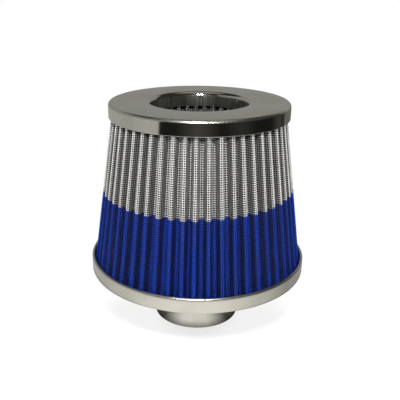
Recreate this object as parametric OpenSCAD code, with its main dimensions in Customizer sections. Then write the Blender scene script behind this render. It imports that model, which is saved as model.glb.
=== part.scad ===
// Conical air filter with a twin pleated element.
// It stands on its neck: the origin is the centre of the neck's lower rim and +Z is the axis.
// Clean air leaves downward through the neck. Outside air enters through the outer pleats
// and, by the open top, through the inverted cone inside them.

/* [Body] */
// Height from the pan's underside to the top face of the cap
body_h = 117; // [100:1:150]

/* [Neck] */
// Outside diameter of the neck tube
neck_od = 60; // [50:1:80]
// Wall of the neck tube
neck_wall = 1.5; // [1:0.1:2.5]
// Length of the neck below the pan
neck_len = 38; // [25:1:60]
// How far the tube steps in where it passes the pan's floor
neck_shoulder = 0.4; // [0.3:0.05:0.6]
// Width of the flange that lies on the pan's floor
neck_flange_w = 8; // [4:0.5:12]
// Thickness of that flange
neck_flange_t = 1.2; // [0.8:0.1:2]
// Rounding of the flange's mouth on the inside
neck_mouth_r = 1; // [0.4:0.1:1.1]

/* [Base pan] */
// Outside diameter of the pan
pan_od = 150; // [140:1:190]
// Height of the pan's wall
pan_h = 10.4; // [8:0.2:16]
// Sheet thickness of the pan
pan_sheet = 0.8; // [0.5:0.1:1.2]
// Inside radius of the bend between floor and wall
pan_bend_r = 0.5; // [0.3:0.1:1]
// Radius of the bead rolled inward along the top of the wall
pan_bead_r = 1.1; // [0.8:0.05:1.4]

/* [Top cap] */
// Outside diameter of the cap
cap_od = 120; // [112:1:140]
// Height of both skirts of the cap
cap_h = 10; // [8:0.5:14]
// Sheet thickness of the cap
cap_sheet = 0.8; // [0.5:0.1:1.2]
// Inside radius of the bend at the outer edge
cap_bend_r = 1.2; // [0.5:0.1:1.6]
// Clear diameter inside the inner skirt
hole_d = 64.6; // [56:0.2:66]
// Inside radius of the lip that rolls from the top face into the hole
lip_bend_r = 2.2; // [1:0.1:3]
// Radius of the bead rolled inward along the outer skirt
cap_bead_r = 0.6; // [0.5:0.05:0.9]

/* [Filter sheets] */
// Thickness of the woven wire screens
screen_t = 0.4; // [0.3:0.05:0.5]
// Thickness of the cotton gauze between them
gauze_t = 0.5; // [0.3:0.05:0.7]

/* [Outer pleats] */
// Number of pleats round the outside
pleats = 52; // [40:2:56]
// Depth of the outer pleats
pleat_depth = 5; // [3:0.25:7]
// Half width of a crest as a share of the pleat pitch
crest_share = 0.25; // [0.23:0.01:0.3]
// How far a pleat's side leans out from crest to foot
side_lean = 0.55; // [0.2:0.05:0.8]
// Depth of the rounding of a crest
crest_round = 0.9; // [0.4:0.1:1.4]
// Straight stretches that round a crest
crest_sides = 3; // [2:1:4]

/* [Inverted cone] */
// Number of pleats round the inverted cone
cone_pleats = 34; // [24:2:34]
// Depth of the cone's pleats
cone_pleat_depth = 5; // [3:0.25:6]
// Diameter over the inward crests at the small end
cone_small_d = 54; // [52:1:60]
// Height from the pan's underside to the cone's closed end
cone_clearance = 46; // [30:1:70]
// Half width of an inward crest as a share of the pitch
cone_crest_share = 0.33; // [0.32:0.01:0.36]
// How far a cone pleat's side leans from crest to foot
cone_side_lean = 0.3; // [0.1:0.05:0.4]
// Depth of the rounding of an inward crest
cone_crest_round = 0.8; // [0.4:0.1:1.2]
// Straight stretches that round an inward crest
cone_crest_sides = 2; // [2:1:3]
// Sheet thickness of the cup that closes the cone
cup_sheet = 0.6; // [0.5:0.1:1]
// Height of the cup's outer skirt
cup_h = 6; // [5:0.5:10]
// Height of the cup's step above the adhesive, below its bend
cup_step = 0.2; // [0:0.1:1]
// Inside radius of the cup's bends
cup_bend_r = 0.4; // [0.2:0.1:0.6]

/* [Adhesive and seams] */
// Thickness of the adhesive bed under the outer pleats
bed_t = 3.2; // [2:0.2:5]
// Thickness of the adhesive below the bend of the cap's lip
cap_bed_t = 1; // [0.5:0.1:2]
// Height of the adhesive that stands inside the pleats
dam_h = 3; // [1:0.5:5]
// Width of the lower adhesive ring inside the pleats
dam_w = 5; // [3:0.5:10]
// Thickness of the adhesive bed in the cup
cup_bed_t = 2; // [1:0.2:4]
// Sheet thickness of the channels crimped over the seams
clip_t = 0.35; // [0.2:0.05:0.4]
// How far a seam channel reaches up the fold that it closes
clip_reach = 2; // [1:0.25:2.5]

/* [Fits] */
// Gap between a row of folds and the sheet metal beside it
fold_gap = 0.4; // [0.2:0.05:0.8]
// Gap between a seam channel and its fold
clip_gap = 0.1; // [0.05:0.01:0.2]

/* [Hidden] */
$fn = 96;

// Straight stretches in each quarter of a bend or bead
bend_steps = 6;

neck_r = neck_od / 2;
neck_bore_r = neck_r - neck_wall;
neck_spigot_r = neck_r - neck_shoulder;

pan_r = pan_od / 2;
pan_wall_r = pan_r - pan_sheet;
pan_z = neck_len;
pan_floor_z = pan_z + pan_sheet;
pan_top_z = pan_z + pan_h;

cap_r = cap_od / 2;
cap_wall_r = cap_r - cap_sheet;
cap_z = pan_z + body_h;
cap_rim_z = cap_z - cap_h;
hole_r = hole_d / 2;
lip_r = lip_bend_r + cap_sheet;
skirt_r = hole_r + cap_sheet;

// The sheets of a pack lie at these depths below its crests: front, gauze, back and its far side
layer_d = [0, screen_t, screen_t + gauze_t, 2 * screen_t + gauze_t];
pack_t = layer_d[3];

// Outer pack: it stands on the bed in the pan and ends at the bed in the cap
pack_low_z = pan_floor_z + bed_t;
pack_high_z = cap_z - lip_r - cap_bed_t;
// Its crests run straight from the inside of the pan's bead to the inside of the cap's bead
crest_low_r = pan_r - 2 * pan_bead_r - fold_gap;
crest_low_z = pan_top_z - pan_bead_r;
crest_high_r = cap_r - 2 * cap_bead_r - fold_gap;
crest_high_z = cap_rim_z + cap_bead_r;
crest_slope = (crest_high_r - crest_low_r) / (crest_high_z - crest_low_z);
function crest_r(z) = crest_low_r + crest_slope * (z - crest_low_z);
function pack_inner_r(z) = crest_r(z) - pleat_depth - pack_t;

// Inverted cone: its crests point at the axis, and its small end stands in the cup
cup_z = pan_z + cone_clearance;
cup_floor_z = cup_z + cup_sheet;
cone_low_z = cup_floor_z + cup_bed_t;
cone_low_r = cone_small_d / 2;
cone_high_r = skirt_r + fold_gap;
cone_slope = (cone_high_r - cone_low_r) / (pack_high_z - cone_low_z);
function cone_crest_r(z) = cone_low_r + cone_slope * (z - cone_low_z);
function cone_outer_r(z) = cone_crest_r(z) + cone_pleat_depth + pack_t;
cup_disc_r = cone_low_r - fold_gap;
cup_wall_r = cone_outer_r(cup_z + cup_h) + fold_gap;
cup_edge_r = cup_bend_r + cup_sheet;
cup_disc_z = cone_low_z + cup_step + cup_edge_r;

// Points along an arc about [r, z], from angle a to angle b
function arc(r, z, radius, a, b) =
    let (n = max(2, ceil(bend_steps * abs(b - a) / 90)))
    [for (i = [0 : n]) let (t = a + (b - a) * i / n) [r + radius * cos(t), z + radius * sin(t)]];

// One pleat from foot to foot, as [across, radius] pairs at depth d below the crest's surface.
// side is 1 where the crests point outward and -1 where they point at the axis.
function pleat(r, depth, half, lean, round_d, sides, side, d) =
    let (slant = atan(lean / depth),
         inset = d * (1 - sin(slant)) / cos(slant),
         w = half - inset,
         rise = round_d * w / half,
         peak = sides % 2 == 0 ? 1 : cos(90 / sides))
    concat([[-(w + lean), r - side * (depth + d)]],
           [for (i = [0 : sides]) let (a = 180 * i / sides)
               [-w * cos(a), r - side * (d + rise * (1 - sin(a) / peak))]],
           [[w + lean, r - side * (depth + d)]]);

// The closed outline of a ring of pleats, as [x, y, z] points
function ring(n, one, z) =
    [for (i = [0 : n - 1], p = one) let (a = 360 * i / n)
        [p[1] * cos(a) - p[0] * sin(a), p[1] * sin(a) + p[0] * cos(a), z]];

// Outline of the outer pack and of the cone's pack at height z and depth d
function outer_ring(z, d) =
    let (r = crest_r(z), half = crest_share * 2 * PI * r / pleats)
    ring(pleats, pleat(r, pleat_depth, half, side_lean, crest_round, crest_sides, 1, d), z);
function cone_ring(z, d) =
    let (r = cone_crest_r(z), half = cone_crest_share * 2 * PI * r / cone_pleats)
    ring(cone_pleats,
         pleat(r, cone_pleat_depth, half, cone_side_lean, cone_crest_round, cone_crest_sides, -1, d), z);

// Triangles of the band between outline k and outline k + 1 of n points each
function band(n, k, l, flip) =
    [for (i = [0 : n - 1], half = [0, 1])
        let (j = (i + 1) % n,
             f = half == 0 ? [k * n + i, k * n + j, l * n + j] : [k * n + i, l * n + j, l * n + i])
        flip ? [f[2], f[1], f[0]] : f];

// A sheet between two outlines, each given at the low and the high end
module sleeve(out_low, out_high, in_low, in_high) {
    n = len(out_low);
    polyhedron(points = concat(out_low, out_high, in_low, in_high),
               faces = concat(band(n, 0, 1, true), band(n, 2, 3, false),
                              band(n, 0, 2, false), band(n, 1, 3, true)),
               convexity = 10);
}

// A bar between two like outlines of a few points each
module bar(low, high) {
    n = len(low);
    polyhedron(points = concat(low, high),
               faces = concat([[for (i = [0 : n - 1]) i]], [[for (i = [n - 1 : -1 : 0]) n + i]],
                              band(n, 0, 1, true)),
               convexity = 4);
}

module outer_layer(k) {
    sleeve(outer_ring(pack_low_z, layer_d[k]), outer_ring(pack_high_z, layer_d[k]),
           outer_ring(pack_low_z, layer_d[k + 1]), outer_ring(pack_high_z, layer_d[k + 1]));
}

module cone_layer(k) {
    sleeve(cone_ring(cone_low_z, layer_d[k + 1]), cone_ring(pack_high_z, layer_d[k + 1]),
           cone_ring(cone_low_z, layer_d[k]), cone_ring(pack_high_z, layer_d[k]));
}

// Outline of a channel that wraps the fold between two pleats from the clean side.
// foot_r is the fold's radius, half its half width there, and side the way that it is wrapped.
function channel(foot_r, half, grow, side, angle, z) =
    let (near = half + clip_gap, far = near + clip_t,
         near_r = foot_r - side * clip_gap, far_r = near_r - side * clip_t,
         tip_r = foot_r + side * clip_reach, tip = grow * clip_reach,
         flat = [[-near, near_r], [-near - tip, tip_r], [-far - tip, tip_r], [-far, far_r],
                 [far, far_r], [far + tip, tip_r], [near + tip, tip_r], [near, near_r]],
         path = side > 0 ? flat : [for (i = [len(flat) - 1 : -1 : 0]) flat[i]])
    [for (p = path) [p[1] * cos(angle) - p[0] * sin(angle), p[1] * sin(angle) + p[0] * cos(angle), z]];

// The same for a fold of the outer pack and for one of the cone's pack
function outer_channel(z) =
    let (r = crest_r(z), pitch = 2 * PI / pleats, foot_r = r - pleat_depth - pack_t,
         slant = atan(side_lean / pleat_depth),
         foot = crest_share * pitch * r + side_lean - pack_t * (1 - sin(slant)) / cos(slant),
         half = foot_r * sin(180 / pleats) - foot * cos(180 / pleats))
    channel(foot_r, half, tan(180 / pleats + slant), 1, seam_pleat * 360 / pleats + 180 / pleats, z);
function cone_channel(z) =
    let (r = cone_crest_r(z), pitch = 2 * PI / cone_pleats, foot_r = r + cone_pleat_depth + pack_t,
         slant = atan(cone_side_lean / cone_pleat_depth),
         foot = cone_crest_share * pitch * r + cone_side_lean - pack_t * (1 - sin(slant)) / cos(slant),
         half = foot_r * sin(180 / cone_pleats) - foot * cos(180 / cone_pleats))
    channel(foot_r, half, tan(slant - 180 / cone_pleats), -1,
            cone_seam_pleat * 360 / cone_pleats + 180 / cone_pleats, z);

// The pleats at the back whose outer foot carries the seam
seam_pleat = floor(pleats / 4);
cone_seam_pleat = floor(cone_pleats / 4);

// Polished stamping: top face, lip into the hole, and an inner and an outer skirt
module top_cap() {
    edge_r = cap_bend_r + cap_sheet;
    bead_a = 180 + acos((cap_sheet - cap_bead_r) / cap_bead_r);
    color([0.82, 0.82, 0.84])
        rotate_extrude()
            polygon(concat([[hole_r, cap_rim_z]],
                           arc(hole_r + lip_r, cap_z - lip_r, lip_r, 180, 90),
                           arc(cap_r - edge_r, cap_z - edge_r, edge_r, 90, 0),
                           arc(cap_r - cap_bead_r, cap_rim_z + cap_bead_r, cap_bead_r, 0, -bead_a),
                           arc(cap_r - edge_r, cap_z - edge_r, cap_bend_r, 0, 90),
                           arc(hole_r + lip_r, cap_z - lip_r, lip_bend_r, 90, 180),
                           [[skirt_r, cap_rim_z]]));
}

// Polished stamping: floor with the neck's hole, wall and rolled bead
module base_pan() {
    edge_r = pan_bend_r + pan_sheet;
    bead_a = 180 + acos((pan_sheet - pan_bead_r) / pan_bead_r);
    color([0.82, 0.81, 0.76])
        rotate_extrude()
            polygon(concat([[neck_spigot_r, pan_z]],
                           arc(pan_r - edge_r, pan_z + edge_r, edge_r, -90, 0),
                           arc(pan_r - pan_bead_r, pan_top_z - pan_bead_r, pan_bead_r, 0, bead_a),
                           arc(pan_r - edge_r, pan_z + edge_r, pan_bend_r, 0, -90),
                           [[neck_spigot_r, pan_floor_z]]));
}

// Tube with a shoulder under the pan, and its end rolled outward over the pan's floor
module neck_tube() {
    flange_z = pan_floor_z + neck_flange_t;
    color([0.78, 0.77, 0.74])
        rotate_extrude()
            polygon(concat([[neck_bore_r, 0], [neck_r, 0], [neck_r, pan_z],
                            [neck_spigot_r, pan_z], [neck_spigot_r, pan_floor_z],
                            [neck_r + neck_flange_w, pan_floor_z], [neck_r + neck_flange_w, flange_z]],
                           arc(neck_bore_r + neck_mouth_r, flange_z - neck_mouth_r, neck_mouth_r, 90, 180)));
}

module outer_screen() { color([0.16, 0.3, 0.68]) outer_layer(0); }
module cotton_gauze() { color([0.3, 0.31, 0.34]) outer_layer(1); }
module inner_screen() { color([0.7, 0.7, 0.72]) outer_layer(2); }

// Metal channel crimped over the fold where the ends of the outer pack meet
module seam_clip() { color([0.6, 0.6, 0.62]) bar(outer_channel(pack_low_z), outer_channel(pack_high_z)); }

// Adhesive in the cap: a bed over both packs and a ring standing between them
module upper_potting() {
    edge_r = cap_bend_r + cap_sheet;
    out_r = pack_inner_r(pack_high_z) - fold_gap;
    in_r = cone_outer_r(pack_high_z) + fold_gap;
    color([0.2, 0.2, 0.2])
        rotate_extrude()
            polygon(concat([[skirt_r, pack_high_z]],
                           arc(hole_r + lip_r, cap_z - lip_r, lip_bend_r, 180, 90),
                           arc(cap_r - edge_r, cap_z - edge_r, cap_bend_r, 90, 0),
                           [[cap_wall_r, pack_high_z], [out_r, pack_high_z], [out_r, pack_high_z - dam_h],
                            [in_r, pack_high_z - dam_h], [in_r, pack_high_z]]));
}

// Adhesive in the pan: a bed under the outer pack and a ring standing inside it
module lower_potting() {
    edge_r = pan_bend_r + pan_sheet;
    out_r = pack_inner_r(pack_low_z + dam_h) - fold_gap;
    color([0.2, 0.2, 0.2])
        rotate_extrude()
            polygon(concat([[out_r - dam_w, pan_floor_z]],
                           arc(pan_r - edge_r, pan_z + edge_r, pan_bend_r, -90, 0),
                           [[pan_wall_r, pack_low_z], [out_r, pack_low_z], [out_r, pack_low_z + dam_h],
                            [out_r - dam_w, pack_low_z + dam_h]]));
}

module cone_front_screen() { color([0.7, 0.7, 0.72]) cone_layer(0); }
module cone_gauze() { color([0.3, 0.31, 0.34]) cone_layer(1); }
module cone_back_screen() { color([0.62, 0.62, 0.64]) cone_layer(2); }

// Metal channel crimped over the fold where the ends of the cone's pack meet
module cone_seam_clip() {
    color([0.6, 0.6, 0.62]) bar(cone_channel(cone_low_z), cone_channel(pack_high_z));
}

// Stamped cup that closes the cone: a channel for the pleats round a disc that stands above it
module cone_cup() {
    foot_r = cup_disc_r - cup_sheet;
    rim_r = cup_wall_r + cup_sheet;
    rim_z = cup_z + cup_h;
    color([0.7, 0.7, 0.72])
        rotate_extrude()
            polygon(concat([[0, cup_disc_z - cup_sheet]],
                           arc(cup_disc_r - cup_edge_r, cup_disc_z - cup_edge_r, cup_bend_r, 90, 0),
                           [[foot_r, cup_z]],
                           arc(rim_r - cup_edge_r, cup_z + cup_edge_r, cup_edge_r, -90, 0),
                           [[rim_r, rim_z], [cup_wall_r, rim_z]],
                           arc(rim_r - cup_edge_r, cup_z + cup_edge_r, cup_bend_r, 0, -90),
                           [[cup_disc_r, cup_floor_z]],
                           arc(cup_disc_r - cup_edge_r, cup_disc_z - cup_edge_r, cup_edge_r, 0, 90),
                           [[0, cup_disc_z]]));
}

// Adhesive in the cup's channel, under the cone's pack
module cone_potting() {
    color([0.2, 0.2, 0.2])
        rotate_extrude()
            polygon(concat([[cup_disc_r, cup_floor_z]],
                           arc(cup_wall_r - cup_bend_r, cup_z + cup_edge_r, cup_bend_r, -90, 0),
                           [[cup_wall_r, cone_low_z], [cup_disc_r, cone_low_z]]));
}

top_cap();
base_pan();
neck_tube();
outer_screen();
cotton_gauze();
inner_screen();
seam_clip();
upper_potting();
lower_potting();
cone_front_screen();
cone_gauze();
cone_back_screen();
cone_seam_clip();
cone_cup();
cone_potting();
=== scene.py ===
import math

import bmesh
import bpy
import numpy as np
from mathutils import Matrix, Vector

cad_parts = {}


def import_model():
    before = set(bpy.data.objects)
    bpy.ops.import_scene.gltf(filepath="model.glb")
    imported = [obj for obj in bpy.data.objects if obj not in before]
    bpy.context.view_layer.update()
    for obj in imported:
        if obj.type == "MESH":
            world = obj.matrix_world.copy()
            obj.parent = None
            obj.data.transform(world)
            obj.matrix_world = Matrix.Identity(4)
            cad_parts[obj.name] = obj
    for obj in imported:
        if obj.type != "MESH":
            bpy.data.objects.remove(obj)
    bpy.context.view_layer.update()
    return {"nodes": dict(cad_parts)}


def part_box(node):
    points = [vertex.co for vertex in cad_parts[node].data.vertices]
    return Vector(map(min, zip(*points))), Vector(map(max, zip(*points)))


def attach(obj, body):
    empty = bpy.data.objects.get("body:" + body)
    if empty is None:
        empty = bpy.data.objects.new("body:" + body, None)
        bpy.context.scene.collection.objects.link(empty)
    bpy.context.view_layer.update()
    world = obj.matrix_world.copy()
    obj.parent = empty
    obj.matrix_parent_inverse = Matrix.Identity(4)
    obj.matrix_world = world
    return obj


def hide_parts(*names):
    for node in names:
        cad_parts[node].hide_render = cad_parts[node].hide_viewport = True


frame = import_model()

# The conical air filter: polished cap, pan, neck and cup, two woven wire screens with gauze
# behind them, the sheets on the clean side, the seam channels and the adhesive.

MM = 0.001

# Sizes that the frame gives
CAP_LOW, CAP_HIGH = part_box("top_cap")
PAN_LOW, PAN_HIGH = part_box("base_pan")
NECK_LOW, NECK_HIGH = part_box("neck_tube")
CUP_LOW, CUP_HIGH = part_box("cone_cup")
PACK_LOW, PACK_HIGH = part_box("outer_screen")
CONE_LOW, CONE_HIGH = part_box("cone_front_screen")
CAP_R = CAP_HIGH.x
PAN_R = PAN_HIGH.x

# Sheet metal
CAP_SHEET = 0.8 * MM
CAP_BEAD_R = 0.6 * MM
CAP_BEND_R = 1.2 * MM
CAP_HOLE_R = 32.3 * MM
CAP_LIP_BEND_R = 2.2 * MM
PAN_SHEET = 0.8 * MM
PAN_BEAD_R = 1.1 * MM
PAN_BEND_R = 0.5 * MM
NECK_R = 30 * MM
NECK_WALL = 1.5 * MM
NECK_SHOULDER = 0.4 * MM
NECK_MOUTH_R = 1 * MM
NECK_RIM_R = 0.35 * MM
CUP_SHEET = 0.6 * MM
CUP_BEND_R = 0.4 * MM
CUP_H = 6 * MM
# The cup's disc stands above its floor by a bed of adhesive and a small step
CUP_BED = 2 * MM
CUP_STEP = 0.2 * MM
# Faces of a turned piece round the axis, and along a quarter of a bend
LATHE_STEPS = 256
BEND_STEPS = 8
# Edges sharper than these, in degrees, stay crisp on turned pieces and on pleated sheets
SHARP_TURNED, SHARP_SHEET = 30, 40
# Tolerances in metres: a point on the axis, points that are joined, and an edge with no length
ON_AXIS, JOINED, NO_LENGTH = 1e-7, 1e-6, 1e-9

# Pleated packs. SHARE is half the width of a crest, as a share of the distance between crests,
# LEAN is how far a wall leans from its crest to its valley, and ROUND is how deep a crest is rounded.
# SEAM is the first of the two folds beside the seam channel, which stay in their even places.
FOLD_GAP = 0.4 * MM
SCREEN_T = 0.4 * MM
GAUZE_T = 0.5 * MM
OUTER_PLEATS = 52
OUTER_DEPTH = 5 * MM
OUTER_SHARE = 0.21
OUTER_LEAN = 0.9 * MM
OUTER_ROUND = 1.7 * MM
OUTER_SEAM = 13
CONE_PLEATS = 34
CONE_DEPTH = 5 * MM
CONE_SHARE = 0.24
CONE_LEAN = 0.6 * MM
CONE_ROUND = 1.3 * MM
CONE_SEAM = 8
CONE_SMALL_R = 27 * MM

# Section of a fold: the flat of its crest and its shoulder as shares of half the crest, how far the
# shoulder drops, the stretch in which the wall straightens, how far the valley's foot is rounded in
# and lifted, and where the valley's trough begins
CREST_FLAT = 0.3
CREST_SHOULDER = 0.8
SHOULDER_DROP = 0.25
WALL_SOFT = 0.28
FOOT_ROUND = 0.15
FOOT_LIFT = 0.25
TROUGH = 0.8
# The outline's corners are cut off by this share of each side, so many times
CORNER_CUT = 0.25
CORNER_ROUNDS = 3

# How far a fold strays from its even place, and how far a crest sinks
FOLD_STRAY = 0.22 * MM
MOST_STRAY = 2 * FOLD_STRAY
CREST_SINK = 0.25 * MM
SEED = 11

# Woven wire: distance between wires, thickness, and how far a wire swings over and under the others
WIRE_PITCH = 1.4 * MM
WEFT_D = 0.4 * MM
WARP_D = 0.32 * MM
WIRE_SWING = 0.16 * MM
# Sides of a wire's section, and the most triangles in one piece
WEFT_SIDES = 4
WARP_SIDES = 3
PIECE_TRIANGLES = 195000
# Depth of the gauze's face below the crests of the screen in front of it
GAUZE_FACE = SCREEN_T + 0.15 * MM
# A sheet takes one of so many points of the pleats' outline
SHEET_SKIP = 2

UP = np.array([0.0, 0.0, 1.0])


# Meshes

def quad_object(name, points, quads):
    """An object of four-sided faces."""
    mesh = bpy.data.meshes.new(name)
    mesh.vertices.add(len(points))
    mesh.vertices.foreach_set("co", np.ascontiguousarray(points, np.float32).ravel())
    mesh.loops.add(quads.size)
    mesh.loops.foreach_set("vertex_index", quads.astype(np.int32).ravel())
    mesh.polygons.add(len(quads))
    mesh.polygons.foreach_set("loop_start", np.arange(0, quads.size, 4, dtype=np.int32))
    mesh.update(calc_edges=True)
    mesh.shade_smooth()
    piece = bpy.data.objects.new(name, mesh)
    bpy.context.scene.collection.objects.link(piece)
    return piece


def torus_quads(rows, columns):
    """Quads of a grid that closes on itself along its rows and its columns."""
    i, j = np.meshgrid(np.arange(rows), np.arange(columns), indexing="ij")
    i2, j2 = (i + 1) % rows, (j + 1) % columns
    corners = [i * columns + j, i * columns + j2, i2 * columns + j2, i2 * columns + j]
    return np.stack(corners, -1).reshape(-1, 4)


def strip_map(piece, strips, steps):
    """A bake map that lays each of the strips of quads side by side, with no overlap."""
    s, t = np.meshgrid(np.arange(strips), np.arange(steps), indexing="ij")
    corners = np.stack([np.stack([t + a, s + b], -1) for a, b in ((0, 0), (0, 1), (1, 1), (1, 0))], -2)
    uv = corners.reshape(-1, 2) / np.array([steps, strips])
    layer = piece.data.uv_layers.new(name="OFBake")
    layer.data.foreach_set("uv", uv.astype(np.float32).ravel())


def outward(piece):
    """Turns the faces of a closed mesh so that they look outward."""
    shape = bmesh.new()
    shape.from_mesh(piece.data)
    bmesh.ops.recalc_face_normals(shape, faces=shape.faces)
    shape.to_mesh(piece.data)
    shape.free()
    piece.data.shade_smooth()


def arc(r, z, radius, start, end):
    """Points along an arc about (r, z), between two angles in degrees."""
    count = max(2, math.ceil(BEND_STEPS * abs(end - start) / 90))
    angles = np.radians(np.linspace(start, end, count + 1))
    return [(r + radius * math.cos(a), z + radius * math.sin(a)) for a in angles]


def lathe(name, outline):
    """A closed outline of (radius, height) points turned about the axis."""
    profile = np.array(outline)
    angles = np.linspace(0, 2 * math.pi, LATHE_STEPS, endpoint=False)
    r = profile[:, 0]
    points = np.stack([np.outer(np.cos(angles), r), np.outer(np.sin(angles), r),
                       np.tile(profile[:, 1], (LATHE_STEPS, 1))], -1).reshape(-1, 3)
    piece = quad_object(name, points, torus_quads(LATHE_STEPS, len(profile))[:, ::-1])
    if r.min() == 0:
        close_at_axis(piece)
    outward(piece)
    piece.data.set_sharp_from_angle(angle=math.radians(SHARP_TURNED))
    return piece


def close_at_axis(piece):
    """Joins the points of a turned piece that lie on its axis."""
    shape = bmesh.new()
    shape.from_mesh(piece.data)
    on_axis = [v for v in shape.verts if math.hypot(v.co.x, v.co.y) < ON_AXIS]
    bmesh.ops.remove_doubles(shape, verts=on_axis, dist=JOINED)
    bmesh.ops.dissolve_degenerate(shape, edges=shape.edges, dist=NO_LENGTH)
    shape.to_mesh(piece.data)
    shape.free()


# Sheet metal pieces

def bead_turn(sheet, bead):
    """How far a rolled bead turns, in degrees, before it meets its own wall."""
    return 180 + math.degrees(math.acos((sheet - bead) / bead))


def cap_shell():
    """The cap: a flat ring with a drawn lip round its hole, and a wall with a rolled bead."""
    z, rim = CAP_HIGH.z, CAP_LOW.z
    edge = CAP_BEND_R + CAP_SHEET
    lip = CAP_LIP_BEND_R + CAP_SHEET
    turn = bead_turn(CAP_SHEET, CAP_BEAD_R)
    return lathe("cap_shell",
                 [(CAP_HOLE_R, rim)]
                 + arc(CAP_HOLE_R + lip, z - lip, lip, 180, 90)
                 + arc(CAP_R - edge, z - edge, edge, 90, 0)
                 + arc(CAP_R - CAP_BEAD_R, rim + CAP_BEAD_R, CAP_BEAD_R, 0, -turn)
                 + arc(CAP_R - edge, z - edge, CAP_BEND_R, 0, 90)
                 + arc(CAP_HOLE_R + lip, z - lip, CAP_LIP_BEND_R, 90, 180)
                 + [(CAP_HOLE_R + CAP_SHEET, rim)])


def pan_shell():
    """The pan: a floor with the neck's hole, and a wall with a rolled bead."""
    z, top = PAN_LOW.z, PAN_HIGH.z
    edge = PAN_BEND_R + PAN_SHEET
    hole = NECK_R - NECK_SHOULDER
    turn = bead_turn(PAN_SHEET, PAN_BEAD_R)
    return lathe("pan_shell",
                 [(hole, z)]
                 + arc(PAN_R - edge, z + edge, edge, -90, 0)
                 + arc(PAN_R - PAN_BEAD_R, top - PAN_BEAD_R, PAN_BEAD_R, 0, turn)
                 + arc(PAN_R - edge, z + edge, PAN_BEND_R, 0, -90)
                 + [(hole, z + PAN_SHEET)])


def neck_shell():
    """The neck: a tube with a shoulder under the pan, a spigot through it and a flange on it."""
    bore, spigot = NECK_R - NECK_WALL, NECK_R - NECK_SHOULDER
    under, floor, top = PAN_LOW.z, PAN_LOW.z + PAN_SHEET, NECK_HIGH.z
    low = NECK_LOW.z
    flange = NECK_HIGH.x
    return lathe("neck_shell",
                 arc(bore + NECK_RIM_R, low + NECK_RIM_R, NECK_RIM_R, 180, 270)
                 + arc(NECK_R - NECK_RIM_R, low + NECK_RIM_R, NECK_RIM_R, -90, 0)
                 + [(NECK_R, under), (spigot, under), (spigot, floor), (flange, floor), (flange, top)]
                 + arc(bore + NECK_MOUTH_R, top - NECK_MOUTH_R, NECK_MOUTH_R, 90, 180))


def cup_shell():
    """The cup: a raised disc, and a channel round it that holds the cone's small end."""
    edge = CUP_BEND_R + CUP_SHEET
    low, rim = CUP_LOW.z, CUP_LOW.z + CUP_H
    top = CUP_LOW.z + CUP_SHEET + CUP_BED + CUP_STEP + edge
    disc, out = CONE_SMALL_R - FOLD_GAP, CUP_HIGH.x
    return lathe("cup_shell",
                 [(0, top - CUP_SHEET)]
                 + arc(disc - edge, top - edge, CUP_BEND_R, 90, 0)
                 + [(disc - CUP_SHEET, low)]
                 + arc(out - edge, low + edge, edge, -90, 0)
                 + [(out, rim), (out - CUP_SHEET, rim)]
                 + arc(out - edge, low + edge, CUP_BEND_R, 0, -90)
                 + [(disc, low + CUP_SHEET)]
                 + arc(disc - edge, top - edge, edge, 0, 90)
                 + [(0, top)])


# Pleated sheets

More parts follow.
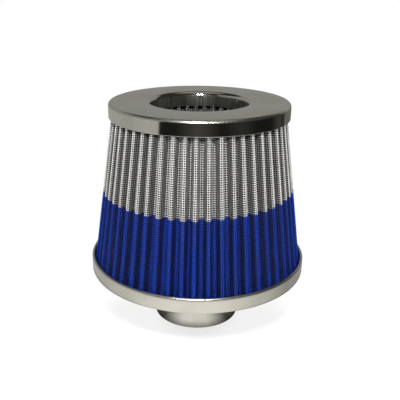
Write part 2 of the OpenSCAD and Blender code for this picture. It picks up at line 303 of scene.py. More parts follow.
class Pack:
    """A ring of pleats. low and high are the height and the radius of its crests at either end.
    side is 1 where the crests point outward, -1 inward."""

    def __init__(self, low, high, count, depth, share, lean, rounding, side, seam, seed):
        draw = np.random.default_rng(seed)
        self.low_z, self.low_r = low
        self.high_z, self.high_r = high
        stray = draw.normal(0, FOLD_STRAY, (3, count)).clip(-MOST_STRAY, MOST_STRAY)
        sink = draw.uniform(0, CREST_SINK, (2, count))
        still = [(seam + k) % count for k in (0, 1)]
        stray[:, still] = 0
        sink[:, still] = 0
        shape = (count, depth, share, lean, rounding, side)
        self.ends = [self.ring(self.low_r, stray[0] + stray[1], sink[0], *shape),
                     self.ring(self.high_r, stray[0] + stray[2], sink[1], *shape)]
        self.side = side

    @staticmethod
    def ring(r, stray, sink, count, depth, share, lean, rounding, side):
        """The smooth outline of the pleats at one height, as [x, y] points."""
        half = share * 2 * math.pi * r / count
        soft = WALL_SOFT * (depth - rounding)
        slope = lean / depth
        valley = math.pi * (r - side * depth) / count
        foot = half + depth * slope
        across = [CREST_FLAT * half, CREST_SHOULDER * half, half + rounding * slope,
                  half + (rounding + soft) * slope, half + (depth - soft) * slope,
                  foot + FOOT_ROUND * (valley - foot), valley * TROUGH]
        down = [0, SHOULDER_DROP * rounding, rounding, rounding + soft, depth - soft,
                depth - FOOT_LIFT * soft, depth]
        across = np.array([-a for a in reversed(across)] + across)
        down = np.array(list(reversed(down)) + down)
        angle = 2 * math.pi * np.arange(count) / count
        x = across[None, :] + stray[:, None]
        y = r - side * (down[None, :] + sink[:, None] * (1 - down[None, :] / depth))
        points = np.stack([y * np.cos(angle)[:, None] - x * np.sin(angle)[:, None],
                           y * np.sin(angle)[:, None] + x * np.cos(angle)[:, None]], -1).reshape(-1, 2)
        for _ in range(CORNER_ROUNDS):
            after = np.roll(points, -1, axis=0)
            points = np.stack([(1 - CORNER_CUT) * points + CORNER_CUT * after,
                               CORNER_CUT * points + (1 - CORNER_CUT) * after], 1).reshape(-1, 2)
        return points

    def steps(self):
        """The distance from each point to the next along the outline halfway up."""
        middle = (self.ends[0] + self.ends[1]) / 2
        return np.linalg.norm(np.roll(middle, -1, axis=0) - middle, axis=1)

    def even(self, count):
        """Places along the outline, at even steps of its length halfway up."""
        length = np.concatenate([[0], np.cumsum(self.steps())])
        return np.interp(np.arange(count) * length[-1] / count, length, np.arange(len(length)))

    def outline(self, z, depth, places=None):
        """The outline at height z, moved by depth towards the clean side, as [x, y, z] points."""
        share = (z - self.low_z) / (self.high_z - self.low_z)
        points = (1 - share) * self.ends[0] + share * self.ends[1]
        along = np.roll(points, -1, axis=0) - np.roll(points, 1, axis=0)
        along /= np.linalg.norm(along, axis=1)[:, None]
        inward = np.stack([-along[:, 1], along[:, 0]], -1) * self.side
        if places is not None:
            first = np.floor(places).astype(int) % len(points)
            part = (places - np.floor(places))[:, None]
            points = (1 - part) * points[first] + part * points[(first + 1) % len(points)]
            inward = (1 - part) * inward[first] + part * inward[(first + 1) % len(inward)]
        moved = points + inward * np.broadcast_to(depth, len(points))[:, None]
        return np.column_stack([moved, np.full(len(moved), z)])


def sheet(name, pack, face, back):
    """A closed pleated sheet between two depths of a pack."""
    corners = ((pack.low_z, face), (pack.high_z, face), (pack.high_z, back), (pack.low_z, back))
    rings = [pack.outline(z, depth)[::SHEET_SKIP] for z, depth in corners]
    piece = quad_object(name, np.concatenate(rings), torus_quads(4, len(rings[0])))
    outward(piece)
    piece.data.set_sharp_from_angle(angle=math.radians(SHARP_SHEET))
    return piece


def wires(name, lines, up, radius, sides, closed):
    """Wires along lines of points, in as many pieces as the limit on triangles asks for.
    up points across the wires, for the whole of them or for each point."""
    spans = lines.shape[1] - (0 if closed else 1)
    groups = math.ceil(len(lines) * sides * spans * 2 / PIECE_TRIANGLES)
    along = np.roll(lines, -1, axis=1) - np.roll(lines, 1, axis=1)
    if not closed:
        along[:, 0] = lines[:, 1] - lines[:, 0]
        along[:, -1] = lines[:, -1] - lines[:, -2]
    along /= np.linalg.norm(along, axis=-1)[:, :, None]
    one = np.cross(along, up)
    one /= np.linalg.norm(one, axis=-1)[:, :, None]
    two = np.cross(one, along)
    return [tubes(f"{name}_{g + 1}", lines[part], (one[part], two[part]), radius, sides, spans)
            for g, part in enumerate(np.array_split(np.arange(len(lines)), groups))]


def tubes(name, lines, frames, radius, sides, spans):
    """Wires along lines of points. frames holds the two directions across each wire at each point.
    With fewer spans than points, a wire is open at its ends, which stand on the adhesive."""
    count, steps = lines.shape[:2]
    turn = 2 * math.pi * (np.arange(sides) + 0.5) / sides
    ring = np.cos(turn)[:, None] * frames[0][:, :, None, :] + np.sin(turn)[:, None] * frames[1][:, :, None, :]
    points = (lines[:, :, None, :] + radius * ring).transpose(0, 2, 1, 3).reshape(-1, 3)
    s, t = np.meshgrid(np.arange(sides), np.arange(spans), indexing="ij")
    s2, t2 = (s + 1) % sides, (t + 1) % steps
    one = np.stack([s * steps + t, s2 * steps + t, s2 * steps + t2, s * steps + t2], -1).reshape(-1, 4)
    quads = (one[None] + (np.arange(count) * sides * steps)[:, None, None]).reshape(-1, 4)
    piece = quad_object(name, points, quads)
    strip_map(piece, count * sides, spans)
    return piece


def weave(name, pack):
    """The woven screen of a pack, with a crossing at every step along the outline and up the slope."""
    count = 2 * round(pack.steps().sum() / WIRE_PITCH / 2)
    places = pack.even(count)
    slope = (pack.high_r - pack.low_r) / (pack.high_z - pack.low_z)
    step = WIRE_PITCH / math.hypot(1, slope)
    rows = np.arange(pack.low_z + step / 2, pack.high_z, step)
    over = np.where((np.arange(len(rows))[:, None] + np.arange(count)[None, :]) % 2 == 0, 1, -1)
    middle = SCREEN_T / 2
    wefts = np.stack([pack.outline(z, middle - WIRE_SWING * sign, places) for z, sign in zip(rows, over)])
    warps = np.stack([pack.outline(pack.low_z, middle, places)]
                     + [pack.outline(z, middle + WIRE_SWING * sign, places) for z, sign in zip(rows, over)]
                     + [pack.outline(pack.high_z, middle, places)], 1)
    around = np.cross(warps * [1, 1, 0], UP)
    return (wires(name + "_weft", wefts, UP, WEFT_D / 2, WEFT_SIDES, True)
            + wires(name + "_warp", warps, around, WARP_D / 2, WARP_SIDES, False))


# Shader nodes

def material(name):
    """A new material with its node tree and its Principled shader."""
    made = bpy.data.materials.new(name)
    made.use_nodes = True
    return made, made.node_tree, made.node_tree.nodes["Principled BSDF"]


def node(tree, kind, **values):
    """A new node. A value sets the node's property of that name, or else its input."""
    made = tree.nodes.new(kind)
    for key, value in values.items():
        if hasattr(made, key):
            setattr(made, key, value)
        else:
            made.inputs[key.replace("_", " ")].default_value = value
    return made


def feed(tree, value, socket):
    """Links the output of a node to a socket, or sets a number or a colour on it."""
    if isinstance(value, bpy.types.NodeSocket):
        tree.links.new(value, socket)
    else:
        socket.default_value = value


def maths(tree, operation, *values):
    """The result of a Math node on numbers or the outputs of nodes."""
    made = node(tree, "ShaderNodeMath", operation=operation)
    for value, socket in zip(values, made.inputs):
        feed(tree, value, socket)
    return made.outputs[0]


def sum_of(tree, first, *others):
    for other in others:
        first = maths(tree, "ADD", first, other)
    return first


def product(tree, one, two):
    return maths(tree, "MULTIPLY", one, two)


def spread(tree, value, low, high, start=0.3, stop=0.7):
    """Maps a value from start to stop onto low to high. Most of a noise lies from 0.3 to 0.7."""
    made = node(tree, "ShaderNodeMapRange", From_Min=start, From_Max=stop, To_Min=low, To_Max=high)
    tree.links.new(value, made.inputs["Value"])
    return made.outputs["Result"]


def spread_angle(tree, angle, low, high, start, stop):
    """Maps an angle in radians, from start to stop in degrees, onto low to high."""
    return spread(tree, angle, low, high, math.radians(start), math.radians(stop))


# A Mix node's share is its input 0, its numbers are inputs 2 and 3, and its colours are 6 and 7

def between(tree, share, one, two):
    """A number from one, where share is 0, to two, where it is 1."""
    made = node(tree, "ShaderNodeMix", data_type="FLOAT")
    for value, k in ((share, 0), (one, 2), (two, 3)):
        feed(tree, value, made.inputs[k])
    return made.outputs[0]


def blend(tree, share, one, two):
    """A colour between one and two, by share."""
    made = node(tree, "ShaderNodeMix", data_type="RGBA")
    tree.links.new(share, made.inputs[0])
    for colour, k in ((one, 6), (two, 7)):
        feed(tree, colour if isinstance(colour, bpy.types.NodeSocket) else (*colour, 1), made.inputs[k])
    return made.outputs[2]


def noise(tree, scale, detail=3.0, stretch=(1, 1, 1)):
    """A noise of the place on the object, in steps per metre."""
    place = node(tree, "ShaderNodeTexCoord")
    mapping = node(tree, "ShaderNodeMapping", Scale=stretch)
    made = node(tree, "ShaderNodeTexNoise", Scale=scale, Detail=detail)
    tree.links.new(place.outputs["Object"], mapping.inputs["Vector"])
    tree.links.new(mapping.outputs["Vector"], made.inputs["Vector"])
    return made.outputs["Fac"]


def bump(tree, shader, height, distance):
    made = node(tree, "ShaderNodeBump", Distance=distance)
    tree.links.new(height, made.inputs["Height"])
    tree.links.new(made.outputs["Normal"], shader.inputs["Normal"])


def place_on(tree):
    """The distance of a point from the axis, its height, and its X."""
    place = node(tree, "ShaderNodeTexCoord")
    split = node(tree, "ShaderNodeSeparateXYZ")
    tree.links.new(place.outputs["Object"], split.inputs["Vector"])
    flat = node(tree, "ShaderNodeVectorMath", operation="MULTIPLY")
    flat.inputs[1].default_value = (1, 1, 0)
    tree.links.new(place.outputs["Object"], flat.inputs[0])
    radius = node(tree, "ShaderNodeVectorMath", operation="LENGTH")
    tree.links.new(flat.outputs[0], radius.inputs[0])
    return radius.outputs["Value"], split.outputs["Z"], split.outputs["X"]


# Colours as the photo shows them under its own light

CAP_BRIGHT = (0.74, 0.74, 0.67)
CAP_DULL = (0.71, 0.65, 0.54)
LIP_PAINTED_REFLECTION = (0.2, 0.21, 0.19)
PAN_BRIGHT = (0.73, 0.71, 0.63)
PAN_DULL = (0.66, 0.645, 0.57)
BARE_WIRE = (0.7, 0.69, 0.665)
# The cone's wire is a darker copy of the bare wire: painted shade inside the cap's hole
SHADED_CONE_WIRE = (0.31, 0.31, 0.3)
PAINT = (0.002, 0.062, 0.56)
PAINTED_GAUZE = (0.001, 0.01, 0.14)
BARE_GAUZE = (0.02, 0.02, 0.019)
BLACK_GLUE = (0.02, 0.02, 0.02)
# Share of a wire's look that is metal under its film or paint
WIRE_METAL = 0.25
PAINT_METAL = 0.55
CONE_METAL = 0.5

# Sizes of the patterns, in steps per metre
WAVE_SCALE = 28
SMUDGE_SCALE = 55
SKIN_SCALE = 180
EDGE_SCALE = 260
FILM_SCALE = 700
GRAIN_SCALE = 900
PLEAT_REFLECTION_SCALE = 1100
PAINT_SCALE = 1500
YARN_SCALE = 2600

# Roughness from the clean to the smudged places, and how high the sheet's slight waves stand
CAP_ROUGH, CAP_WAVE = (0.05, 0.11), 0.05 * MM
PAN_ROUGH, PAN_WAVE = (0.09, 0.16), 0.06 * MM
NECK_ROUGH, NECK_WAVE = (0.13, 0.19), 0.04 * MM
CUP_ROUGH, CUP_WAVE = (0.15, 0.25), 0.05 * MM
CLIP_ROUGH, CLIP_WAVE = (0.2, 0.3), 0.03 * MM
GRAIN_ROUGH = 0.02
# The stretch of the smudges' noise in which bright turns to dull
SMUDGE_EDGE = (0.45, 0.7)
# How much rougher a tight bend and a drawn lip are, and the stretches in which that begins
BEND_DULL = 0.17
BEND_FADE = 0.3 * MM
LIP_DULL = 0.2
LIP_FADE = (0.02 * MM, 0.12 * MM)
# The lip's painted shade and painted reflection of the pleats run in stripes along the axis, and show at
# least this share of their dark tone
PLEAT_REFLECTION_STRETCH = (1, 1, 0.02)
PLEAT_REFLECTION_LEAST = 0.35
WIRE_ROUGH = (0.5, 0.6)
GAUZE_ROUGH = 0.9
GLUE_ROUGH = (0.3, 0.5)
YARN_HEIGHT = 0.15 * MM
SKIN_HEIGHT = 0.3 * MM
# How dark the dark places of a pattern are against its light ones
FILM_DARK = 0.8
PAINT_DARK = 0.6
GAUZE_DARK = 0.45
PAINTED_GAUZE_DARK = 0.5
GLUE_DARK = 0.6

# Height of the edge of the paint, how far it rises at the right, how uneven it is, and how soft it is
PAINT_Z = 95.2 * MM
PAINT_RISE = 2.6 * MM
PAINT_UNEVEN = 0.5 * MM
WIRE_EDGE = 0.25 * MM
GAUZE_EDGE = 0.35 * MM

# How far painted shade darkens the flanks and valleys of the pleats against the crests, and the depths where
# that changes
FLANK_SHADE_TONE = 0.27
VALLEY_SHADE_TONE = 1.0
CREST_EDGE = (0.45 * MM, 1.1 * MM)
VALLEY_EDGE = (4.1 * MM, 4.7 * MM)


# Materials

def darker(colour, share):
    return tuple(share * c for c in colour)


def polished(name, bright, dull, rough, wave, bend=None, lip=None):
    """Chromed sheet: smudges in colour and gloss, and the slight waves of a pressed sheet.
    bend is a radius and a height, beyond which the sheet is bent tightly and duller. lip is the radius of a
    drawn lip, which is painted darker, with a painted reflection of the pleats in stripes along the axis."""
    made, tree, shader = material(name)
    shader.inputs["Metallic"].default_value = 1
    smudge = noise(tree, SMUDGE_SCALE, 4.0)
    grain = noise(tree, GRAIN_SCALE, 2.0)
    colour = blend(tree, spread(tree, smudge, 0, 1, *SMUDGE_EDGE), bright, dull)
    gloss = sum_of(tree, spread(tree, smudge, *rough), spread(tree, grain, 0, GRAIN_ROUGH))
    radius, z, _ = place_on(tree)
    if bend:
        tight = product(tree, spread(tree, radius, 0, BEND_DULL, bend[0], bend[0] + BEND_FADE),
                        spread(tree, z, 0, 1, bend[1], bend[1] + BEND_FADE))
        gloss = sum_of(tree, gloss, tight)
    # The lip's dark tone and its stripes are painted shade and a painted reflection of the pleats
    if lip:
        drawn = spread(tree, radius, 1, 0, lip + LIP_FADE[0], lip + LIP_FADE[1])
        pleat_reflection = noise(tree, PLEAT_REFLECTION_SCALE, 2.0, PLEAT_REFLECTION_STRETCH)
        colour = blend(tree, product(tree, drawn, spread(tree, pleat_reflection, PLEAT_REFLECTION_LEAST, 1)), colour, LIP_PAINTED_REFLECTION)
        gloss = sum_of(tree, gloss, spread(tree, drawn, 0, LIP_DULL, 0, 1))
    tree.links.new(colour, shader.inputs["Base Color"])
    tree.links.new(gloss, shader.inputs["Roughness"])
    bump(tree, shader, noise(tree, WAVE_SCALE, 2.0), wave)
    return made


def painted_height(tree, soft):
    """1 below the edge of the paint and 0 above it. The edge is slightly uneven, and rises towards +X."""
    _, height, x = place_on(tree)
    uneven = spread(tree, noise(tree, EDGE_SCALE, 2.0), -PAINT_UNEVEN, PAINT_UNEVEN)
    total = sum_of(tree, height, uneven, spread(tree, x, 0, -PAINT_RISE, 0, PAN_R))
    return spread(tree, total, 1, 0, PAINT_Z - soft, PAINT_Z + soft)


def fold_shade_share(tree, pack):
    """1 on the crests of a pack, less on its flanks, where shade is painted, and more again in its valleys."""
    radius, height, _ = place_on(tree)
    crest = spread(tree, height, pack.low_r, pack.high_r, pack.low_z, pack.high_z)
    depth = maths(tree, "SUBTRACT", *((crest, radius) if pack.side > 0 else (radius, crest)))
    crests = spread(tree, depth, 1, FLANK_SHADE_TONE, *CREST_EDGE)
    valleys = spread(tree, depth, 0, VALLEY_SHADE_TONE - FLANK_SHADE_TONE, *VALLEY_EDGE)
    return sum_of(tree, crests, valleys)


def shaded_in_folds(tree, colour, pack):
    """A colour darkened by painted shade on the pack's flanks."""
    made = node(tree, "ShaderNodeVectorMath", operation="SCALE")
    tree.links.new(colour, made.inputs[0])
    tree.links.new(fold_shade_share(tree, pack), made.inputs["Scale"])
    return made.outputs[0]


def wire(name, pack, bare, metal=WIRE_METAL, paint=None):
    """Woven wire with a dull film, bare or painted up to the paint's edge."""
    made, tree, shader = material(name)
    film = noise(tree, FILM_SCALE)
    colour = blend(tree, spread(tree, film, 0, 1), bare, darker(bare, FILM_DARK))
    shader.inputs["Metallic"].default_value = metal
    if paint:
        mask = painted_height(tree, WIRE_EDGE)
        speckle = spread(tree, noise(tree, PAINT_SCALE, 2.0), 0, 1)
        colour = blend(tree, mask, colour, blend(tree, speckle, paint, darker(paint, PAINT_DARK)))
        tree.links.new(spread(tree, mask, metal, PAINT_METAL, 0, 1), shader.inputs["Metallic"])
    # The pleats' flanks get painted shade, deeper than the crests
    tree.links.new(shaded_in_folds(tree, colour, pack), shader.inputs["Base Color"])
    tree.links.new(spread(tree, film, *WIRE_ROUGH), shader.inputs["Roughness"])
    return made


def gauze(name, pack, bare, paint=None):
    """Cotton gauze: a fine weave of yarns, with overspray up to the paint's edge."""
    made, tree, shader = material(name)
    shader.inputs["Roughness"].default_value = GAUZE_ROUGH
    yarn = noise(tree, YARN_SCALE, 2.0)
    thread = spread(tree, yarn, 0, 1)
    colour = blend(tree, thread, bare, darker(bare, GAUZE_DARK))
    if paint:
        sprayed = blend(tree, thread, paint, darker(paint, PAINTED_GAUZE_DARK))
        colour = blend(tree, painted_height(tree, GAUZE_EDGE), colour, sprayed)
    # The pleats' flanks get painted shade, deeper than the crests
    tree.links.new(shaded_in_folds(tree, colour, pack), shader.inputs["Base Color"])
    bump(tree, shader, yarn, YARN_HEIGHT)
    return made


def cast(name, colour):
    """Cast adhesive with a slightly uneven skin."""
    made, tree, shader = material(name)
    skin = noise(tree, SKIN_SCALE)
    tree.links.new(blend(tree, spread(tree, skin, 0, 1), colour, darker(colour, GLUE_DARK)),
                   shader.inputs["Base Color"])
    tree.links.new(spread(tree, skin, *GLUE_ROUGH), shader.inputs["Roughness"])
    bump(tree, shader, skin, SKIN_HEIGHT)
    return made


# Pieces with their materials

def wear(piece, look):
    """Gives a piece its only material."""
    piece.data.materials.clear()
    piece.data.materials.append(look)


def dress(piece, look, slot, *nodes):
    """Gives a piece its material, and lets it stand for the nodes that it replaces, which it hides. slot is
    not used.
    """
    wear(piece, look)
    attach(piece, "root")
    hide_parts(*nodes)


def build_metal():
    cap_bend = (CAP_R - CAP_BEND_R - CAP_SHEET, CAP_HIGH.z - CAP_BEND_R - CAP_SHEET)
    pan_bead = (PAN_R - 2 * PAN_BEAD_R, PAN_HIGH.z - 1.5 * PAN_BEAD_R)
    cap_look = polished("cap_chrome", CAP_BRIGHT, CAP_DULL, CAP_ROUGH, CAP_WAVE, cap_bend, CAP_HOLE_R)
    pan_look = polished("pan_chrome", PAN_BRIGHT, PAN_DULL, PAN_ROUGH, PAN_WAVE, pan_bead)
    neck_look = polished("neck_satin", PAN_BRIGHT, PAN_DULL, NECK_ROUGH, NECK_WAVE)
    cup_look = polished("cup_sheet", CAP_BRIGHT, CAP_DULL, CUP_ROUGH, CUP_WAVE)
    dress(cap_shell(), cap_look, "cap_metal", "top_cap")
    dress(pan_shell(), pan_look, "pan_metal", "base_pan")
    dress(neck_shell(), neck_look, "neck_metal", "neck_tube")
    dress(cup_shell(), cup_look, "cup_metal", "cone_cup")


def outer_pack():
    """The outer pleats, whose crests run along the line from the pan's bead to the cap's."""
    by_pan = (PAN_HIGH.z - PAN_BEAD_R, PAN_R - 2 * PAN_BEAD_R - FOLD_GAP)
    by_cap = (CAP_LOW.z + CAP_BEAD_R, CAP_R - 2 * CAP_BEAD_R - FOLD_GAP)
    slope = (by_cap[1] - by_pan[1]) / (by_cap[0] - by_pan[0])
    crests = [(z, by_pan[1] + slope * (z - by_pan[0])) for z in (PACK_LOW.z, PACK_HIGH.z)]
    return Pack(*crests, OUTER_PLEATS, OUTER_DEPTH, OUTER_SHARE, OUTER_LEAN, OUTER_ROUND, 1,
                OUTER_SEAM, SEED)


def cone_pack():
    """The inverted cone's pleats, from the cup's disc to the cap's skirt."""
    large_r = CAP_HOLE_R + CAP_SHEET + FOLD_GAP
    return Pack((CONE_LOW.z, CONE_SMALL_R), (CONE_HIGH.z, large_r), CONE_PLEATS, CONE_DEPTH,
                CONE_SHARE, CONE_LEAN, CONE_ROUND, -1, CONE_SEAM, SEED + 1)


def build_packs():
    outer, cone = outer_pack(), cone_pack()
    painted_wire = wire("painted_wire", outer, BARE_WIRE, paint=PAINT)
    cone_wire = wire("cone_wire", cone, SHADED_CONE_WIRE, CONE_METAL)
    for piece in weave("outer", outer):
        dress(piece, painted_wire, "outer_wire", "outer_screen")
    for piece in weave("cone", cone):
        dress(piece, cone_wire, "cone_wire", "cone_front_screen")

    behind = SCREEN_T + GAUZE_T
    painted_gauze = gauze("painted_gauze", outer, BARE_GAUZE, PAINTED_GAUZE)
    bare_gauze = gauze("bare_gauze", cone, BARE_GAUZE)
    dress(sheet("outer_gauze", outer, GAUZE_FACE, behind), painted_gauze, "gauze", "cotton_gauze")
    dress(sheet("cone_gauze_sheet", cone, GAUZE_FACE, behind), bare_gauze, "gauze", "cone_gauze")
    dress(sheet("outer_back_wire", outer, behind, behind + SCREEN_T),
          wire("outer_back", outer, BARE_WIRE), "inner_wire", "inner_screen")
    dress(sheet("cone_back_wire", cone, behind, behind + SCREEN_T),
          wire("cone_back", cone, BARE_WIRE), "inner_wire", "cone_back_screen")


def dress_frame():
    """Materials of the adhesive and the seam channels, which keep the shapes of the frame."""
    glue = cast("black_adhesive", BLACK_GLUE)
    clip = polished("clip_sheet", CAP_BRIGHT, CAP_DULL, CLIP_ROUGH, CLIP_WAVE)
    for name in ("upper_potting", "lower_potting", "cone_potting"):
        wear(frame["nodes"][name], glue)
    for name in ("seam_clip", "cone_seam_clip"):
        wear(frame["nodes"][name], clip)


# Camera: fitted to the outlines in the photo, in pixels of its 400 x 400 frame
IMAGE = 400
SENSOR = 36
FOCAL_PX = 597.6
CENTRE_PX = (180, 210)
# Its distance from the axis, its height above the pan's underside, and its angles in degrees
DISTANCE = 393.4 * MM
HEIGHT = 192.1 * MM
YAW, PITCH, ROLL = -1.81, 21.21, -0.28
# It goes round the axis by this many degrees, so that a crest stands where the photo has one
TURN = 0.93
NEAREST = 10 * MM


def camera():
    yaw, pitch, roll = (math.radians(a) for a in (YAW, PITCH, ROLL))
    ahead = Vector((math.sin(yaw) * math.cos(pitch), math.cos(yaw) * math.cos(pitch), -math.sin(pitch)))
    right = Vector((math.cos(yaw), -math.sin(yaw), 0))
    down = ahead.cross(right)
    x = math.cos(roll) * right + math.sin(roll) * down
    y = math.sin(roll) * right - math.cos(roll) * down
    pose = Matrix((x, y, -ahead)).transposed().to_4x4()
    pose.translation = (0, -DISTANCE, PAN_LOW.z + HEIGHT)
    data = bpy.data.cameras.new("camera")
    data.sensor_width = SENSOR
    data.lens = FOCAL_PX / IMAGE * SENSOR
    data.shift_x = (IMAGE / 2 - CENTRE_PX[0]) / IMAGE
    data.shift_y = (CENTRE_PX[1] - IMAGE / 2) / IMAGE
    data.clip_start = NEAREST
    eye = bpy.data.objects.new("camera", data)
    bpy.context.scene.collection.objects.link(eye)
    eye.matrix_world = Matrix.Rotation(math.radians(TURN), 4, "Z") @ pose
    bpy.context.scene.camera = eye


# Studio: a pale floor, a white background, a room that only metal mirrors, and lamps.
# Directions are in degrees from the front, -Y, towards +X. Heights are in degrees above the floor.

WHITE = (1, 1, 1, 1)
ROOM_TINT = (1, 1, 0.97, 1)
FLOOR_COLOUR = (0.68, 0.68, 0.68, 1)
FLOOR_R = 12.0
FLOOR_MIDDLE_R = 0.05
FLOOR_SIDES = 96
# The share of white in the floor that the camera sees, and the distances between which it rises to 1
HAZE = 0.7
HAZE_FROM, HAZE_TO = 60 * MM, 200 * MM
# The light from all round, which metal doesn't mirror
AMBIENT = 0.12

# Metal mirrors the floor up to this distance, and the room beyond it
NEAR_R = 190 * MM
NEAR_SOFT = 20 * MM
# The room is dark between these directions, whose ends are soft in the floor and softer in the walls
DARK_FROM, DARK_TO = -46, 126
DARK_SOFT, WALL_DARK_SOFT = 1, 2
DARK = 0.012
# It is pale on the left, and less so behind. The back begins on the left between the first angles,
# and on the right between the second ones, in radians, which lie in the dark part.
PALE_LEFT, PALE_BACK = 0.4, 0.15
BACK_FADE = (-180, -150)
BACK_RIGHT = (1.9, 2.1)
# Soft patches of it: direction, half the width, and brightness
LEFT_PATCH = (-62, 25, 0.06)
FAINT_PATCHES = ((0, 26, 0.05), (50, 20, 0.02), (112, 16, 0.045))
# The walls end in one stretch of heights, and the ceiling begins in another
WALL, WALL_TOP = 0.285, (33, 42)
ABOVE = 0.03
CEILING, CEILING_FROM = 0.27, (58, 68)

# The floor as metal shows it, with painted light and painted shade. Its part under the pan, which the neck
# mirrors, turns between these distances into the part that the pan mirrors.
UNDER_PAN = (80 * MM, 130 * MM)
# Each part has its lit tone about a direction this far left of the front: all of it up to one angle
# and none from the next. A third lobe, of a share of that tone, is behind.
LIT_TURN = 1
NECK_LOBE, NECK_LIT = (19, 55), 0.84
PAN_LOBE, PAN_LIT = (15, 85), 0.93
BACK_LOBE, BACK_LIT = (150, 178), 0.6
# Elsewhere it is dim under the pan. Beyond the pan it goes from one tone on the left to another on
# the right, between these angles in radians.
NECK_SIDE = 0.1
PAN_SIDES, PAN_SIDE_FADE = (0.5, 0.36), (-0.3, 0.3)
# A painted contact shadow darkens it round the neck's lower rim
CONTACT_SHADOW = 0.2
CONTACT_FROM, CONTACT_TO = NECK_R - 0.5 * MM, NECK_R + 8 * MM


def azimuth(tree, vector):
    """The direction of a vector from the front towards +X, in radians, and its height."""
    split = node(tree, "ShaderNodeSeparateXYZ")
    tree.links.new(vector, split.inputs["Vector"])
    minus_y = product(tree, split.outputs["Y"], -1)
    return maths(tree, "ARCTAN2", split.outputs["X"], minus_y), split.outputs["Z"]


def sector(tree, angle, start, stop, soft):
    """1 between two directions, with soft ends."""
    after = spread_angle(tree, angle, 0, 1, start - soft, start + soft)
    before = spread_angle(tree, angle, 1, 0, stop - soft, stop + soft)
    return product(tree, after, before)


def patch(tree, angle, centre, half, tone):
    """A soft pale patch of the room about a direction."""
    rise = spread_angle(tree, angle, 0, 1, centre - half, centre)
    fall = spread_angle(tree, angle, 1, 0, centre, centre + half)
    return product(tree, product(tree, rise, fall), tone)


def far_room(tree, angle):
    """The brightness of the room as metal shows it: pale on the left, dark in front and on the right."""
    dark = sector(tree, angle, DARK_FROM, DARK_TO, DARK_SOFT)
    back = spread_angle(tree, angle, PALE_BACK, PALE_LEFT, *BACK_FADE)
    left = sum_of(tree, between(tree, dark, back, DARK), patch(tree, angle, *LEFT_PATCH))
    lit = between(tree, spread(tree, angle, 0, 1, *BACK_RIGHT), left, PALE_BACK)
    faint = [patch(tree, angle, *one) for one in FAINT_PATCHES]
    return sum_of(tree, between(tree, dark, lit, DARK), *faint)


def near_floor(tree, angle, away):
    """The brightness of the floor as metal shows it: painted light in front and behind, and painted shade at
    the sides and round the neck's rim.
    """
    size = maths(tree, "ABSOLUTE", maths(tree, "ADD", angle, math.radians(LIT_TURN)))
    out = spread(tree, away, 0, 1, *UNDER_PAN)
    front = between(tree, out, spread_angle(tree, size, 1, 0, *NECK_LOBE),
                    spread_angle(tree, size, 1, 0, *PAN_LOBE))
    side = between(tree, out, NECK_SIDE, spread(tree, angle, *PAN_SIDES, *PAN_SIDE_FADE))
    lit = sum_of(tree, front, spread_angle(tree, size, 0, BACK_LIT, *BACK_LOBE))
    contact_shadow = spread(tree, away, CONTACT_SHADOW, 1, CONTACT_FROM, CONTACT_TO)
    return product(tree, between(tree, lit, side, between(tree, out, NECK_LIT, PAN_LIT)), contact_shadow)


def mixed(tree, share, one, two):
    """A shader that goes from one, where share is 0, to two, where it is 1."""
    made = node(tree, "ShaderNodeMixShader")
    for k, output in enumerate((share, one, two)):
        tree.links.new(output, made.inputs[k])
    return made.outputs[0]


def floor():
    """A pale floor, white to the camera away from the filter. Metal shows the room in its far part."""
    mesh = bpy.data.meshes.new("floor")
    n = FLOOR_SIDES
    turn = [2 * math.pi * k / n for k in range(n)]
    ring = [(r * math.cos(a), r * math.sin(a), 0) for r in (FLOOR_MIDDLE_R, FLOOR_R) for a in turn]
    faces = [(k, (k + 1) % n, n + (k + 1) % n, n + k) for k in range(n)]
    faces.append(tuple(range(n - 1, -1, -1)))
    mesh.from_pydata(ring, [], faces)
    plane = bpy.data.objects.new("floor", mesh)
    bpy.context.scene.collection.objects.link(plane)
    made, tree, shader = material("floor")
    tree.nodes.remove(shader)
    plain = node(tree, "ShaderNodeBsdfDiffuse", Color=FLOOR_COLOUR)
    glow = node(tree, "ShaderNodeEmission", Color=WHITE, Strength=1.0)
    place = node(tree, "ShaderNodeTexCoord")
    length = node(tree, "ShaderNodeVectorMath", operation="LENGTH")
    tree.links.new(place.outputs["Object"], length.inputs[0])
    away = length.outputs["Value"]
    ray = node(tree, "ShaderNodeLightPath")
    haze = spread(tree, away, HAZE, 1.0, HAZE_FROM, HAZE_TO)
    seen = mixed(tree, product(tree, haze, ray.outputs["Is Camera Ray"]), plain.outputs[0], glow.outputs[0])

    angle, _ = azimuth(tree, place.outputs["Object"])
    distant = spread(tree, away, 0, 1, NEAR_R - NEAR_SOFT, NEAR_R + NEAR_SOFT)
    room = node(tree, "ShaderNodeEmission", Color=ROOM_TINT)
    tree.links.new(between(tree, distant, near_floor(tree, angle, away), far_room(tree, angle)),
                   room.inputs["Strength"])
    whole = mixed(tree, ray.outputs["Is Glossy Ray"], seen, room.outputs[0])
    tree.links.new(whole, tree.nodes["Material Output"].inputs["Surface"])
    mesh.materials.append(made)


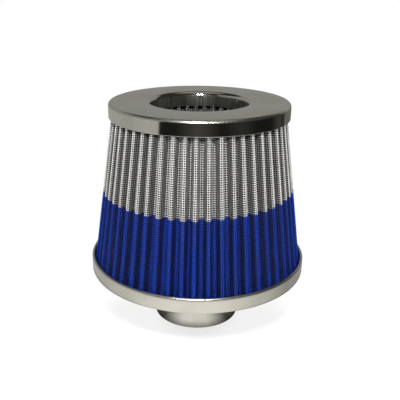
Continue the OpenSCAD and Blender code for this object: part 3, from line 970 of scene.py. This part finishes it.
def world():
    """Soft light from all round. The camera sees white, and metal shows the room's walls and ceiling."""
    made = bpy.data.worlds.new("studio")
    bpy.context.scene.world = made
    made.use_nodes = True
    tree = made.node_tree
    ambient = tree.nodes["Background"]
    ambient.inputs["Color"].default_value = WHITE
    ambient.inputs["Strength"].default_value = AMBIENT
    place = node(tree, "ShaderNodeTexCoord")
    angle, height = azimuth(tree, place.outputs["Generated"])
    top, ceiling = ([math.sin(math.radians(a)) for a in ends] for ends in (WALL_TOP, CEILING_FROM))
    low = spread(tree, height, 1, 0, *top)
    lit = spread(tree, sector(tree, angle, DARK_FROM, DARK_TO, WALL_DARK_SOFT), 1, 0, 0, 1)
    above = spread(tree, height, 0, CEILING, *ceiling)
    room = node(tree, "ShaderNodeBackground", Color=ROOM_TINT)
    tree.links.new(sum_of(tree, between(tree, product(tree, low, lit), ABOVE, WALL), above),
                   room.inputs["Strength"])
    white = node(tree, "ShaderNodeBackground", Color=WHITE, Strength=1.0)
    ray = node(tree, "ShaderNodeLightPath")
    light = mixed(tree, ray.outputs["Is Glossy Ray"], ambient.outputs[0], room.outputs[0])
    whole = mixed(tree, ray.outputs["Is Camera Ray"], light, white.outputs[0])
    tree.links.new(whole, tree.nodes["World Output"].inputs["Surface"])


# Each lamp's name, direction and height in degrees, distance, width and height in metres, power in
# watts, and whether metal mirrors it
LAMPS = (
    ("front_lamp", 0, 40, 0.5, 0.1, 0.04, 2.7, True),
    ("left_lamp", -82, 30, 0.8, 0.2, 0.2, 8.8, False),
    ("right_lamp", 82, 30, 0.8, 0.2, 0.2, 8.8, False),
    ("back_lamp", 180, 35, 0.8, 0.2, 0.2, 5.0, False),
)


def lamp(name, direction, elevation, distance, width, height, power, mirrored):
    """A soft lamp that looks at the middle of the filter."""
    a, e = math.radians(direction), math.radians(elevation)
    middle = Vector((0, 0, (CAP_HIGH.z + NECK_LOW.z) / 2))
    offset = Vector((math.sin(a) * math.cos(e), -math.cos(a) * math.cos(e), math.sin(e))) * distance
    data = bpy.data.lights.new(name, "AREA")
    data.shape = "RECTANGLE"
    data.size, data.size_y = width, height
    data.energy = power
    light = bpy.data.objects.new(name, data)
    bpy.context.scene.collection.objects.link(light)
    light.visible_glossy = mirrored
    light.location = middle + offset
    light.rotation_euler = (-offset).to_track_quat("-Z", "Y").to_euler()


build_metal()
build_packs()
dress_frame()
camera()
floor()
world()
for one in LAMPS:
    lamp(*one)
bpy.context.scene.view_settings.view_transform = "Standard"
# The weave is as fine as the pixels, so the denoiser takes its guides as they are
bpy.context.scene.cycles.denoising_prefilter = "NONE"
